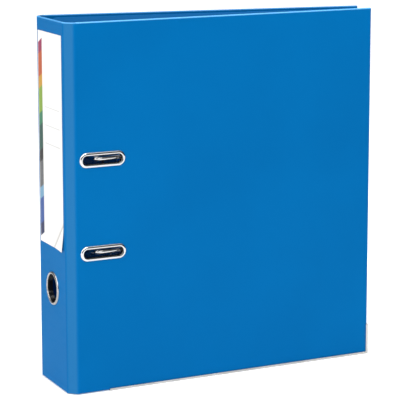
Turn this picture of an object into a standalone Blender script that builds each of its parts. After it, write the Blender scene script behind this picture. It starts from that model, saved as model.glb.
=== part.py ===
"""Lever arch file for A4 paper, standing closed.

The case is a chain of boards joined by creased foil strips: back board, strip, spine board, strip,
front board. Each link is drawn along its own +X axis with its outer face on y = 0 and its inner
side towards +Y, and hangs on an empty that stands on the crease it turns about.

The mechanism stands on the back board, which runs along +X from its crease to the free edge.
There x counts from the crease and u counts from the board's inner face towards the front board.
"""

import math

import bmesh
import bpy
from mathutils import Matrix, Vector

MM = 0.001

# Case
HEIGHT = 318.0 * MM
COVER_LENGTH = 292.0 * MM
SPINE_WIDTH = 66.0 * MM
STRIP_WIDTH = 9.8 * MM
BOARD = 2.4 * MM
FOIL = 0.9 * MM
BACK_LEAN = math.radians(5.8)
FRONT_LEAN = math.radians(4.5)
EDGE_ROUND = 1.0 * MM
RIM_ROUND = 0.4 * MM
CREASE_SETBACK = 0.2 * MM
MITRE_SPARE = math.radians(1.5)
GAP = 0.3 * MM

# Rails on the covers' bottom edges and free corners
RAIL = 0.5 * MM
RAIL_LIP = 1.8 * MM
RAIL_START = 30.0 * MM
RAIL_RISE = 28.0 * MM
RAIL_CORNER = 1.2 * MM

# Spine label and finger ring
LABEL_WIDTH = 58.0 * MM
LABEL_HEIGHT = 183.5 * MM
LABEL_BELOW_TOP = 11.5 * MM
LABEL = 0.3 * MM
RING_ABOVE_FLOOR = 86.0 * MM
RING_BORE = 12.3 * MM
RING_FLANGE = 2.3 * MM
RING_WALL = 0.8 * MM
RING_PROUD = 1.3 * MM
WASHER = 0.6 * MM
WASHER_WIDTH = 2.6 * MM

# Slots in the front board and their eyelets
ARCH_HEIGHT = 162.0 * MM
ARCH_SPACING = 80.0 * MM
SLOT_FROM_CREASE = 25.2 * MM
SLOT_LENGTH = 36.5 * MM
SLOT_WIDTH = 7.0 * MM
EYELET_FLANGE = 3.1 * MM
EYELET_WALL = 0.7 * MM
EYELET_PROUD = 1.2 * MM
EYELET_LIP = 1.3 * MM

# Base plate and its rivets
PLATE = 1.0 * MM
PLATE_LEFT = 8.0 * MM
PLATE_RIGHT = 68.0 * MM
PLATE_WAIST = 53.0 * MM
PLATE_HALF_HEIGHT = 62.0 * MM
PLATE_EAR = 34.0 * MM
PLATE_CORNER = 6.0 * MM
RIVET_SHANK = 2.1 * MM
RIVET_HEAD = 4.2 * MM
RIVET_DOME = 1.3 * MM
RIVET_FLAT = 0.8 * MM
RIVET_INSET = 7.0 * MM
HOLE_SPARE = 0.3 * MM
TAIL_RISE = 0.36 * MM

# Arch bar
WIRE = 2.0 * MM
AXLE_RISE = 8.0 * MM
ARCH_UNDER_FACE = 1.1 * MM
LEG_ANGLE = math.radians(85.5)
LEG_BEND = 6.0 * MM
SHOULDER_BEND = 10.0 * MM
AXLE_BEND = 5.0 * MM

# Posts and compressor bar
POST_FROM_CREASE = 58.0 * MM
POST_HEIGHT = 45.0 * MM
POST_SHANK = 2.6 * MM
POST_TIP = 2.1 * MM
POST_TAPER = 5.0 * MM
POST_COLLAR = 4.4 * MM
POST_COLLAR_RISE = 1.6 * MM
BAR_WIDTH = 12.0 * MM
BAR_SHEET = 0.8 * MM
BAR_LIP = 2.6 * MM
BAR_OVERHANG = 12.0 * MM
BAR_SPARE = 0.4 * MM

# Bearing clips
CLIP_SHEET = 1.0 * MM
CLIP_WIDTH = 8.0 * MM
CLIP_FOOT = 5.0 * MM
CLIP_FROM_LEG = 14.0 * MM

# Lever, its bracket and roller
LEVER_PIVOT_X = 36.0 * MM
LEVER_REACH = 34.0 * MM
LEVER_SHEET = 1.5 * MM
LEVER_HALF_WIDTH = 9.5 * MM
LEVER_ROUND = 5.0 * MM
ROLLER_ARM = 13.0 * MM
ROLLER_RADIUS = 4.0 * MM
ROLLER_EAR = 3.3 * MM
ROLLER_REST_GAP = 0.8 * MM
ROLLER_PIN = 1.5 * MM
PIVOT_PIN = 2.0 * MM
PIN_HEAD = 3.0 * MM
PIN_HEAD_RISE = 0.9 * MM
LEVER_NOSE = 0.8 * MM
LEVER_NOSE_RUN = 7.0 * MM
FINGER_SLOT_LENGTH = 14.0 * MM
FINGER_SLOT_WIDTH = 9.0 * MM
SIDE_PLAY = 0.5 * MM
CHEEK = 1.2 * MM
CHEEK_FOOT = 9.0 * MM
CHEEK_HALF_BASE = 7.5 * MM
CHEEK_LEAN = math.radians(20.0)
CHEEK_RIVET = 1.5 * MM
CHEEK_RIVET_HEAD = 3.0 * MM

# Tongue and spring
TONGUE = 1.6 * MM
TONGUE_REACH = 22.0 * MM
TONGUE_HALF_WIDTH = 6.5 * MM
TONGUE_MOUTH = math.radians(25.0)
SPRING = 0.7 * MM
SPRING_HALF_WIDTH = 5.0 * MM
SPRING_TIP = 26.0 * MM
SPRING_BEND = 43.0 * MM
SPRING_END = 51.0 * MM
SPRING_STEPS = 8
SPRING_RIVET_HEAD = 2.5 * MM

# Facets
FULL_TURN = 2.0 * math.pi
ROUND_STEPS = 24
RING_STEPS = 40
DOME_STEPS = 4
ARC_STEP = math.radians(11.0)
WIRE_ARC_STEP = math.radians(5.0)
WIRE_SIDES = 3
SHARP_ANGLE = math.radians(35.0)
WELD = 0.001 * MM

# Section of an eyelet's flange, from bore to rim, as shares of its width and of its height
FLANGE_SECTION = ((0.0, 0.45), (0.15, 0.85), (0.4, 1.0), (0.7, 0.9), (0.93, 0.6))

# Worked out from the sizes above
BACK_TURN = (math.pi / 2 + BACK_LEAN) / 2
FRONT_TURN = (math.pi / 2 + FRONT_LEAN) / 2
BOARD_FOOT = RAIL + GAP
PLATE_TOP = GAP + PLATE
SEAT = PLATE_TOP + GAP
TONGUE_TOP = AXLE_RISE - WIRE - GAP
LEVER_PIVOT_U = TONGUE_TOP + ROLLER_REST_GAP + ROLLER_RADIUS + ROLLER_ARM
CHEEK_INSIDE = LEVER_HALF_WIDTH + SIDE_PLAY
ARCH_LEVELS = {"upper": ARCH_HEIGHT + ARCH_SPACING / 2, "lower": ARCH_HEIGHT - ARCH_SPACING / 2}

BLUE = (0.012, 0.16, 0.48)
PAPER = (0.86, 0.86, 0.84)
NICKEL = (0.62, 0.61, 0.58)
CHROME = (0.75, 0.75, 0.76)
SPRING_STEEL = (0.32, 0.31, 0.30)
DARK_PLASTIC = (0.03, 0.03, 0.032)


def clear_scene():
    for obj in list(bpy.data.objects):
        bpy.data.objects.remove(obj)


def material(name, colour, roughness, metallic):
    mat = bpy.data.materials.new(name)
    mat.use_nodes = True
    shader = mat.node_tree.nodes["Principled BSDF"]
    shader.inputs["Base Color"].default_value = (*colour, 1.0)
    shader.inputs["Roughness"].default_value = roughness
    shader.inputs["Metallic"].default_value = metallic
    return mat


def foil_finish(name):
    return material(name, BLUE, 0.38, 0.0)


def nickel_finish(name):
    return material(name, NICKEL, 0.28, 1.0)


def chrome_finish(name):
    return material(name, CHROME, 0.12, 1.0)


def frame(name, parent=None, place=(0.0, 0.0, 0.0), turn=0.0):
    """An empty on a joint's axis, which carries the pieces that turn or slide with it."""
    empty = bpy.data.objects.new(name, None)
    bpy.context.scene.collection.objects.link(empty)
    empty.parent = parent
    empty.location = place
    empty.rotation_euler = (0.0, 0.0, turn)
    return empty


def add_piece(name, bm, finish, parent):
    """Closes the bmesh into a named object under its frame, shaded smooth up to sharp edges."""
    bmesh.ops.recalc_face_normals(bm, faces=bm.faces)
    if bm.calc_volume(signed=True) < 0.0:
        bmesh.ops.reverse_faces(bm, faces=bm.faces)
    mesh = bpy.data.meshes.new(name)
    bm.to_mesh(mesh)
    bm.free()
    mesh.shade_smooth()
    mesh.set_sharp_from_angle(angle=SHARP_ANGLE)
    if finish:
        mesh.materials.append(finish(name + "_finish"))
    obj = bpy.data.objects.new(name, mesh)
    bpy.context.scene.collection.objects.link(obj)
    obj.parent = parent
    return obj


def add_cutter(name, bm, parent):
    cutter = add_piece(name, bm, None, parent)
    cutter.hide_render = True
    cutter.display_type = "WIRE"
    return cutter


def combine(obj, tool, operation="DIFFERENCE"):
    modifier = obj.modifiers.new(tool.name, "BOOLEAN")
    modifier.operation = operation
    modifier.solver = "EXACT"
    modifier.object = tool


def arc(centre, radius, start, end, step=ARC_STEP):
    """Points on an arc, both ends included, close enough to read as round."""
    steps = max(2, math.ceil(abs(end - start) / step))
    angles = [start + (end - start) * i / steps for i in range(steps + 1)]
    return [(centre[0] + radius * math.cos(a), centre[1] + radius * math.sin(a)) for a in angles]


def stadium(middle, half_straight, radius):
    """Outline of a slot with round ends, along the first axis."""
    right = (middle[0] + half_straight, middle[1])
    left = (middle[0] - half_straight, middle[1])
    ends = arc(right, radius, -math.pi / 2, math.pi / 2)
    return ends + arc(left, radius, math.pi / 2, 3 * math.pi / 2)


def prism(outline, low, high, place):
    """Extrudes a closed outline from low to high; place(a, b, depth) gives the point in space."""
    bm = bmesh.new()
    face = bm.faces.new([bm.verts.new(place(a, b, low)) for a, b in outline])
    grown = bmesh.ops.extrude_face_region(bm, geom=[face])["geom"]
    moved = [item for item in grown if isinstance(item, bmesh.types.BMVert)]
    way = Vector(place(0.0, 0.0, high)) - Vector(place(0.0, 0.0, low))
    bmesh.ops.translate(bm, verts=moved, vec=way)
    return bm


def upright(a, b, depth):
    """Outline in plan, raised along Z."""
    return (a, b, depth)


def across(a, b, depth):
    """Outline in a board's plane, along and up, pushed through its thickness."""
    return (a, depth, b)


def on_plate(a, b, depth):
    """Outline on the back board, x and height, raised from its inner face by u."""
    return (a, -(BOARD + depth), b)


def side_on(a, b, depth):
    """Side view of the mechanism, x and u, spread along Z."""
    return (a, -(BOARD + b), depth)


def about_axis(a, b, depth):
    """Side view of a moving piece, from its own axis, spread along Z."""
    return (a, -b, depth)


def turned(profile, steps, axis):
    """Spins a closed profile of radius and length about an axis. Lengths on Y run inwards from y = 0."""
    bm = bmesh.new()
    ring = [bm.verts.new((radius, 0.0, length)) for radius, length in profile]
    edges = [bm.edges.new((ring[i - 1], ring[i])) for i in range(len(ring))]
    bmesh.ops.spin(bm, geom=ring + edges, cent=(0, 0, 0), axis=(0, 0, 1), angle=FULL_TURN,
                   steps=steps, use_merge=True, use_duplicate=False)
    bmesh.ops.remove_doubles(bm, verts=bm.verts, dist=WELD)
    if axis == "Y":
        bmesh.ops.rotate(bm, verts=bm.verts, cent=(0, 0, 0), matrix=Matrix.Rotation(-math.pi / 2, 3, "X"))
    return bm


def moved(bm, place):
    bmesh.ops.translate(bm, verts=bm.verts, vec=place)
    return bm


def rod(radius, low, high, axis="Z"):
    """A plain round bar, used for cutting holes."""
    return turned([(0.0, low), (radius, low), (radius, high), (0.0, high)], ROUND_STEPS, axis)


def drill(obj, name, radius, low, high, place, axis, parent):
    """Bores a round hole through a piece."""
    combine(obj, add_cutter(name, moved(rod(radius, low, high, axis), place), parent))


def board_outline(length, thickness, turn_start, turn_end):
    """A board in plan: mitred at each crease, so that the folded edges lie side by side."""
    back_start = thickness * math.tan(turn_start / 2 + MITRE_SPARE)
    points = [(CREASE_SETBACK, 0.0)]
    if turn_end is None:
        points += arc((length - EDGE_ROUND, EDGE_ROUND), EDGE_ROUND, -math.pi / 2, 0.0)
        points += arc((length - EDGE_ROUND, thickness - EDGE_ROUND), EDGE_ROUND, 0.0, math.pi / 2)
    else:
        back_end = thickness * math.tan(turn_end / 2 + MITRE_SPARE)
        points += [(length - CREASE_SETBACK, 0.0), (length - CREASE_SETBACK - back_end, thickness)]
    return points + [(CREASE_SETBACK + back_start, thickness)]


def board_solid(outline):
    """Raises a board from its plan outline and rounds its top and bottom rims."""
    bm = prism(outline, BOARD_FOOT, HEIGHT, upright)
    rims = [e for e in bm.edges if abs(e.verts[0].co.z - e.verts[1].co.z) < RIM_ROUND]
    bmesh.ops.bevel(bm, geom=rims, offset=RIM_ROUND, segments=2, profile=0.5, affect="EDGES")
    return bm


def back_board(parent):
    outline = board_outline(COVER_LENGTH, BOARD, BACK_TURN, None)
    bm = board_solid([(x, -y) for x, y in outline])
    board = add_piece("back_board", bm, foil_finish, parent)
    for number, (x, z) in enumerate(rivet_places(), 1):
        bore = RIVET_SHANK + HOLE_SPARE
        drill(board, f"board_bore_{number}", bore, -2 * BOARD, BOARD, (x, 0.0, z), "Y", parent)
    return board


def hinge_foil(name, parent, turn):
    outline = board_outline(STRIP_WIDTH, FOIL, turn, turn)
    return add_piece(name, board_solid(outline), foil_finish, parent)


def spine_board(parent):
    outline = board_outline(SPINE_WIDTH, BOARD, BACK_TURN, FRONT_TURN)
    board = add_piece("spine_board", board_solid(outline), foil_finish, parent)
    place = (SPINE_WIDTH / 2, 0.0, RING_ABOVE_FLOOR)
    drill(board, "finger_bore", RING_BORE + RING_WALL + GAP, -BOARD, 2 * BOARD, place, "Y", parent)
    return board


def front_board(parent):
    outline = board_outline(COVER_LENGTH, BOARD, FRONT_TURN, None)
    board = add_piece("front_board", board_solid(outline), foil_finish, parent)
    for level, height in ARCH_LEVELS.items():
        half_straight = (SLOT_LENGTH - SLOT_WIDTH) / 2
        hole = stadium((SLOT_FROM_CREASE, height), half_straight, SLOT_WIDTH / 2 + EYELET_WALL + GAP)
        cutter = add_cutter(f"{level}_slot", prism(hole, -BOARD, 2 * BOARD, across), parent)
        combine(board, cutter)
    return board


def edge_rail(name, parent, inward):
    """A folded strip round the bottom edge of a cover and up its free corner, open towards the board."""
    end = COVER_LENGTH + GAP + RAIL
    lip_up = BOARD_FOOT + RAIL_LIP
    lip_in = COVER_LENGTH - RAIL_LIP
    outline = [(RAIL_START, 0.0)]
    outline += arc((end - RAIL_CORNER, RAIL_CORNER), RAIL_CORNER, -math.pi / 2, 0.0)
    outline += [(end, RAIL_RISE), (lip_in, RAIL_RISE), (lip_in, lip_up), (RAIL_START, lip_up)]
    outer = GAP + RAIL
    bm = prism(outline, -outer * inward, (BOARD + outer) * inward, across)
    rail = add_piece(name, bm, nickel_finish, parent)
    spare = RAIL_RISE / 2
    inside = [(RAIL_START - spare, RAIL), (end - RAIL, RAIL), (end - RAIL, RAIL_RISE + spare)]
    inside += [(RAIL_START - spare, RAIL_RISE + spare)]
    cutter = prism(inside, -GAP * inward, (BOARD + GAP) * inward, across)
    combine(rail, add_cutter(name + "_inside", cutter, parent))
    return rail


def spine_label(parent):
    left = (SPINE_WIDTH - LABEL_WIDTH) / 2
    top = HEIGHT - LABEL_BELOW_TOP
    outline = [(left, top - LABEL_HEIGHT), (left + LABEL_WIDTH, top - LABEL_HEIGHT)]
    outline += [(left + LABEL_WIDTH, top), (left, top)]
    bm = prism(outline, -GAP - LABEL, -GAP, across)
    return add_piece("spine_label", bm, lambda name: material(name, PAPER, 0.55, 0.0), parent)


def flange(inner, width, proud):
    """Outer half of an eyelet's section, from its bore over a round flange to the board's face."""
    curve = [(inner + across * width, -high * proud) for across, high in FLANGE_SECTION]
    return curve + [(inner + width, -GAP)]


def finger_ring(parent):
    """A flanged ring pushed through the spine from outside and rolled over a washer inside."""
    tube = RING_BORE + RING_WALL
    roll = BOARD + GAP + WASHER + GAP
    profile = flange(RING_BORE, RING_FLANGE, RING_PROUD)
    profile += [(tube, -GAP), (tube, roll), (tube + WASHER_WIDTH / 2, roll)]
    profile += [(tube + WASHER_WIDTH / 2, roll + RING_WALL / 2), (RING_BORE, roll + RING_WALL)]
    place = (SPINE_WIDTH / 2, 0.0, RING_ABOVE_FLOOR)
    ring = add_piece("finger_ring", moved(turned(profile, RING_STEPS, "Y"), place), nickel_finish, parent)
    low = BOARD + GAP
    inner = tube + GAP
    outer = inner + WASHER_WIDTH
    disc = [(inner, low), (outer, low), (outer, low + WASHER), (inner, low + WASHER)]
    add_piece("finger_ring_washer", moved(turned(disc, RING_STEPS, "Y"), place), nickel_finish, parent)
    return ring


def slot_eyelet(level, parent):
    """A long eyelet: its section is carried round the slot's outline and closed on itself."""
    bore = SLOT_WIDTH / 2
    section = flange(bore, EYELET_FLANGE, EYELET_PROUD)
    lip = BOARD + GAP
    tube = bore + EYELET_WALL
    section += [(tube, -GAP), (tube, lip), (tube + EYELET_LIP, lip)]
    section += [(tube + EYELET_LIP, lip + EYELET_WALL / 2), (bore, lip + EYELET_WALL)]
    half_straight = (SLOT_LENGTH - SLOT_WIDTH) / 2
    middle = (SLOT_FROM_CREASE, ARCH_LEVELS[level])
    bm = bmesh.new()
    loops = []
    for radius, depth in section:
        outline = stadium(middle, half_straight, radius)
        loops.append([bm.verts.new((x, depth, z)) for x, z in outline])
    for last, loop in zip([loops[-1]] + loops, loops):
        for i in range(len(loop)):
            bm.faces.new((last[i - 1], last[i], loop[i], loop[i - 1]))
    return add_piece(f"{level}_slot_eyelet", bm, chrome_finish, parent)


def rivet_places():
    """The four case rivets, in the corners of the base plate."""
    columns = (PLATE_LEFT + RIVET_INSET, PLATE_RIGHT - RIVET_INSET)
    rows = (ARCH_HEIGHT + PLATE_HALF_HEIGHT - RIVET_INSET, ARCH_HEIGHT - PLATE_HALF_HEIGHT + RIVET_INSET)
    return [(x, z) for z in rows for x in columns]


def base_plate(parent):
    """A stamped plate, wide at both ends where the posts stand and narrower behind the lever."""
    top = ARCH_HEIGHT + PLATE_HALF_HEIGHT
    ear = ARCH_HEIGHT + PLATE_EAR
    waist = PLATE_CORNER
    half = arc((PLATE_WAIST + waist, ear - waist), waist, math.pi, math.pi / 2)
    half += arc((PLATE_RIGHT - waist / 2, ear + waist / 2), waist / 2, -math.pi / 2, 0.0)
    half += arc((PLATE_RIGHT - waist, top - waist), waist, 0.0, math.pi / 2)
    half += arc((PLATE_LEFT + waist, top - waist), waist, math.pi / 2, math.pi)
    other = [(x, 2 * ARCH_HEIGHT - z) for x, z in reversed(half)]
    plate = add_piece("base_plate", prism(half + other, GAP, PLATE_TOP, on_plate), nickel_finish, parent)
    holes = [(x, z, RIVET_SHANK) for x, z in rivet_places()]
    holes += [(POST_FROM_CREASE, z, POST_TIP) for z in ARCH_LEVELS.values()]
    holes += [(LEVER_PIVOT_X, z, CHEEK_RIVET) for z in cheek_rivet_heights()]
    holes += [(spring_rivet_x(), ARCH_HEIGHT, CHEEK_RIVET)]
    for number, (x, z, radius) in enumerate(holes, 1):
        place = (x, -BOARD, z)
        drill(plate, f"plate_bore_{number}", radius + HOLE_SPARE, -2 * SEAT, SEAT, place, "Y", parent)
    return plate


def dome(head, seat):
    """Half section of a domed rivet head on u = seat, from its rim to the middle of its top."""
    angles = [i * math.pi / 2 / DOME_STEPS for i in range(DOME_STEPS)]
    curve = [(head * math.cos(a), seat + RIVET_DOME * math.sin(a)) for a in angles]
    return curve + [(0.0, seat + RIVET_DOME)]


def domed_rivet(name, parent, x, z, shank, head, seat):
    """A rivet with a domed head on u = seat and a shank down into the base plate."""
    profile = [(0.0, TAIL_RISE), (shank, TAIL_RISE), (shank, seat)] + dome(head, seat)
    bm = turned([(r, -u) for r, u in profile], ROUND_STEPS, "Y")
    return add_piece(name, moved(bm, (x, -BOARD, z)), nickel_finish, parent)


def case_rivets(parent):
    """Each rivet clamps plate and board between a dome inside and a flat head outside."""
    outside = -BOARD - GAP
    flat = outside - RIVET_FLAT
    for number, (x, z) in enumerate(rivet_places(), 1):
        profile = [(0.0, flat), (RIVET_HEAD, flat), (RIVET_HEAD + RIVET_FLAT, outside)]
        profile += [(RIVET_SHANK, outside), (RIVET_SHANK, SEAT)] + dome(RIVET_HEAD, SEAT)
        bm = turned([(r, -u) for r, u in profile], ROUND_STEPS, "Y")
        add_piece(f"case_rivet_{number}", moved(bm, (x, -BOARD, z)), nickel_finish, parent)


def post(level, parent):
    """A turned post with a collar on the plate, a riveted tail in it and a slim top for the arch."""
    collar = SEAT + POST_COLLAR_RISE
    profile = [(0.0, TAIL_RISE), (POST_TIP, TAIL_RISE), (POST_TIP, SEAT), (POST_COLLAR, SEAT)]
    profile += [(POST_COLLAR, collar - GAP), (POST_COLLAR - GAP, collar), (POST_SHANK, collar)]
    profile += [(POST_SHANK, POST_HEIGHT - POST_TAPER), (POST_TIP, POST_HEIGHT - GAP)]
    profile += [(POST_TIP - GAP, POST_HEIGHT), (0.0, POST_HEIGHT)]
    bm = turned([(r, -u) for r, u in profile], ROUND_STEPS, "Y")
    place = (POST_FROM_CREASE, -BOARD, ARCH_LEVELS[level])
    return add_piece(f"{level}_post", moved(bm, place), chrome_finish, parent)


def front_crease():
    """Front crease and heading of the front board, seen in the mechanism's x and u."""
    x, y, heading = 0.0, 0.0, math.pi + BACK_TURN
    links = ((STRIP_WIDTH, BACK_TURN), (SPINE_WIDTH, FRONT_TURN), (STRIP_WIDTH, FRONT_TURN))
    for width, turn in links:
        x += width * math.cos(heading)
        y += width * math.sin(heading)
        heading += turn
    return x, -y - BOARD, heading - FULL_TURN


def arch_axle():
    """Place of the arch bar's axle and the radius of its arches.

    The arches are round about the axle, so they pass through the slots without leaving their
    outline. The axle lies square behind the middle of the slots.
    """
    x, u, heading = front_crease()
    slot_x = x + SLOT_FROM_CREASE * math.cos(heading)
    slot_u = u - SLOT_FROM_CREASE * math.sin(heading)
    reach = (slot_u - AXLE_RISE) / math.cos(heading)
    return slot_x - reach * math.sin(heading), reach - ARCH_UNDER_FACE - WIRE


def arch_path():
    """Half of the wire from the axle's middle to an arch's tip, as x, u and z from the axle."""
    axle_x, radius = arch_axle()
    half = ARCH_SPACING / 2
    out = math.cos(LEG_ANGLE), math.sin(LEG_ANGLE)
    path = [(0.0, 0.0, 0.0)]
    for rise, run in arc((AXLE_BEND, half - AXLE_BEND), AXLE_BEND, math.pi, math.pi / 2):
        path.append((out[0] * rise, out[1] * rise, run))
    bend_in = radius - LEG_BEND
    swing = math.asin(LEG_BEND / bend_in)
    bend_middle = bend_in * math.cos(LEG_ANGLE - swing), bend_in * math.sin(LEG_ANGLE - swing)
    flat = arc(bend_middle, LEG_BEND, LEG_ANGLE + math.pi / 2, LEG_ANGLE - swing)
    shoulder_in = radius - SHOULDER_BEND
    post_x = POST_FROM_CREASE - axle_x
    down = math.acos((post_x - SHOULDER_BEND) / shoulder_in)
    flat += arc((0.0, 0.0), radius, LEG_ANGLE - swing, down, WIRE_ARC_STEP)[1:]
    middle = shoulder_in * math.cos(down), shoulder_in * math.sin(down)
    flat += arc(middle, SHOULDER_BEND, down, 0.0)[1:]
    flat.append((post_x, POST_HEIGHT + GAP - AXLE_RISE))
    return path + [(x, u, half) for x, u in flat]


def arch_bar(parent):
    """One bent wire: arch, leg, axle, leg, arch."""
    half = arch_path()
    route = [(x, u, -z) for x, u, z in reversed(half[1:])] + half[1:]
    curve = bpy.data.curves.new("arch_bar", "CURVE")
    curve.dimensions = "3D"
    curve.bevel_depth = WIRE
    curve.bevel_resolution = WIRE_SIDES
    curve.use_fill_caps = True
    spline = curve.splines.new("POLY")
    spline.points.add(len(route) - 1)
    for point, (x, u, z) in zip(spline.points, route):
        point.co = (x, -u, z, 1.0)
    spline.use_smooth = True
    curve.materials.append(chrome_finish("arch_bar_finish"))
    obj = bpy.data.objects.new("arch_bar", curve)
    bpy.context.scene.collection.objects.link(obj)
    obj.parent = parent
    return obj


def arch_tongue(parent):
    """A plate curled round the axle, which the roller holds down and the spring lifts."""
    inner, outer = WIRE + GAP, WIRE + GAP + TONGUE
    mouth = TONGUE_MOUTH - FULL_TURN
    outline = [(TONGUE_REACH, -inner), (TONGUE_REACH, -outer)]
    outline += arc((0.0, 0.0), outer, -math.pi / 2, mouth)
    outline += arc((0.0, 0.0), inner, mouth, -math.pi / 2)
    bm = prism(outline, -TONGUE_HALF_WIDTH, TONGUE_HALF_WIDTH, about_axis)
    return add_piece("arch_tongue", bm, nickel_finish, parent)


def bearing_clip(level, parent):
    """A strap bent over the axle, with two feet on the plate."""
    axle_x = arch_axle()[0]
    inner = WIRE + GAP
    outer = inner + CLIP_SHEET
    foot = SEAT + CLIP_SHEET
    toe = outer + CLIP_FOOT
    outline = [(axle_x - toe, SEAT), (axle_x - inner, SEAT)]
    outline += arc((axle_x, AXLE_RISE), inner, math.pi, 0.0)
    outline += [(axle_x + inner, SEAT), (axle_x + toe, SEAT), (axle_x + toe, foot)]
    outline += [(axle_x + outer, foot)] + arc((axle_x, AXLE_RISE), outer, 0.0, math.pi)
    outline += [(axle_x - outer, foot), (axle_x - toe, foot)]
    side = 1 if level == "upper" else -1
    middle = ARCH_HEIGHT + side * (ARCH_SPACING / 2 - CLIP_FROM_LEG)
    bm = prism(outline, middle - CLIP_WIDTH / 2, middle + CLIP_WIDTH / 2, side_on)
    return add_piece(f"{level}_bearing_clip", bm, nickel_finish, parent)


def cheek_rivet_heights():
    reach = CHEEK_INSIDE + CHEEK + CHEEK_FOOT / 2
    return (ARCH_HEIGHT + reach, ARCH_HEIGHT - reach)


def lever_cheek(level, parent):
    """An angle plate: a tapered cheek round the lever's pin and a foot on the base plate."""
    side = 1 if level == "upper" else -1
    inside, outside = CHEEK_INSIDE, CHEEK_INSIDE + CHEEK
    top = LEVER_PIVOT_U + 2 * PIN_HEAD
    angle = [(SEAT, inside), (top, inside), (top, outside), (SEAT + CHEEK, outside)]
    angle += [(SEAT + CHEEK, outside + CHEEK_FOOT), (SEAT, outside + CHEEK_FOOT)]
    left, right = LEVER_PIVOT_X - CHEEK_HALF_BASE, LEVER_PIVOT_X + CHEEK_HALF_BASE

    def along_x(u, spread, x):
        return (x, -(BOARD + u), ARCH_HEIGHT + side * spread)

    cheek = add_piece(f"{level}_lever_cheek", prism(angle, left, right, along_x), nickel_finish, parent)
    crown = arc((LEVER_PIVOT_X, LEVER_PIVOT_U), LEVER_ROUND, CHEEK_LEAN, math.pi - CHEEK_LEAN)
    shape = [(left - GAP, 0.0), (right + GAP, 0.0), (right + GAP, SEAT + 2 * CHEEK)]
    shape += crown + [(left - GAP, SEAT + 2 * CHEEK)]
    reach = outside + 2 * CHEEK_FOOT
    bm = prism(shape, ARCH_HEIGHT - reach, ARCH_HEIGHT + reach, side_on)
    combine(cheek, add_cutter(f"{level}_cheek_shape", bm, parent), "INTERSECT")
    place = (LEVER_PIVOT_X, -(BOARD + LEVER_PIVOT_U), ARCH_HEIGHT)
    drill(cheek, f"{level}_cheek_bore", PIVOT_PIN + HOLE_SPARE, -reach, reach, place, "Z", parent)
    rivet_z = ARCH_HEIGHT + side * (outside + CHEEK_FOOT / 2)
    place = (LEVER_PIVOT_X, -BOARD, rivet_z)
    bore = CHEEK_RIVET + HOLE_SPARE
    drill(cheek, f"{level}_foot_bore", bore, -2 * SEAT - CHEEK, SEAT, place, "Y", parent)
    domed_rivet(f"{level}_cheek_rivet", parent, LEVER_PIVOT_X, rivet_z, CHEEK_RIVET, CHEEK_RIVET_HEAD,
                SEAT + CHEEK + GAP)
    return cheek


def lever(parent):
    """A pressed channel: two cheeks under one skin, from the roller's ears to the finger end."""
    ear = (0.0, -ROLLER_ARM)
    skin = LEVER_ROUND - LEVER_SHEET
    outline = arc((0.0, 0.0), LEVER_ROUND, math.pi / 2, -math.pi / 6)
    outline += arc(ear, ROLLER_EAR, 0.0, -math.pi)
    nose = LEVER_NOSE - LEVER_REACH
    outline += [(-LEVER_ROUND, -ROLLER_ARM / 3), (-LEVER_REACH / 2, 0.0), (nose, skin - LEVER_NOSE)]
    outline += [(-LEVER_REACH, skin), (-LEVER_REACH, LEVER_ROUND + LEVER_NOSE)]
    outline += [(LEVER_NOSE_RUN - LEVER_REACH, LEVER_ROUND)]
    bm = prism(outline, -LEVER_HALF_WIDTH, LEVER_HALF_WIDTH, about_axis)
    channel = add_piece("lever", bm, chrome_finish, parent)
    inside = LEVER_HALF_WIDTH - LEVER_SHEET
    far = 2 * LEVER_REACH
    end = 2 * LEVER_SHEET - LEVER_REACH
    pocket = [(end, -far), (far, -far), (far, skin), (end, skin)]
    combine(channel, add_cutter("lever_pocket", prism(pocket, -inside, inside, about_axis), parent))
    grip_x = -LEVER_REACH + FINGER_SLOT_LENGTH / 2 + 3 * LEVER_SHEET
    half_straight = (FINGER_SLOT_LENGTH - FINGER_SLOT_WIDTH) / 2
    grip = stadium((grip_x, 0.0), half_straight, FINGER_SLOT_WIDTH / 2)
    bm = prism(grip, -far, far, across)
    combine(channel, add_cutter("lever_grip", bm, parent))
    drill(channel, "lever_bore", PIVOT_PIN + HOLE_SPARE, -far, far, (0, 0, 0), "Z", parent)
    drill(channel, "lever_ear_bore", ROLLER_PIN + HOLE_SPARE, -far, far, (0, ROLLER_ARM, 0), "Z", parent)
    return channel


def lever_pivot_pin(parent):
    """A headed pin through both cheeks and the lever."""
    shoulder = CHEEK_INSIDE + CHEEK + GAP
    end = shoulder + PIN_HEAD_RISE
    profile = [(0.0, -end), (PIN_HEAD - GAP, -end), (PIN_HEAD, GAP - end), (PIN_HEAD, -shoulder)]
    profile += [(PIVOT_PIN, -shoulder), (PIVOT_PIN, shoulder), (PIN_HEAD, shoulder)]
    profile += [(PIN_HEAD, end - GAP), (PIN_HEAD - GAP, end), (0.0, end)]
    return add_piece("lever_pivot_pin", turned(profile, ROUND_STEPS, "Z"), nickel_finish, parent)


def roller_pin(parent):
    """A plain pin, flush with the lever's cheeks."""
    end = LEVER_HALF_WIDTH - GAP / 2
    profile = [(0.0, -end), (ROLLER_PIN - GAP, -end), (ROLLER_PIN, GAP - end)]
    profile += [(ROLLER_PIN, end - GAP), (ROLLER_PIN - GAP, end), (0.0, end)]
    bm = moved(turned(profile, ROUND_STEPS, "Z"), (0.0, ROLLER_ARM, 0.0))
    return add_piece("roller_pin", bm, nickel_finish, parent)


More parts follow.
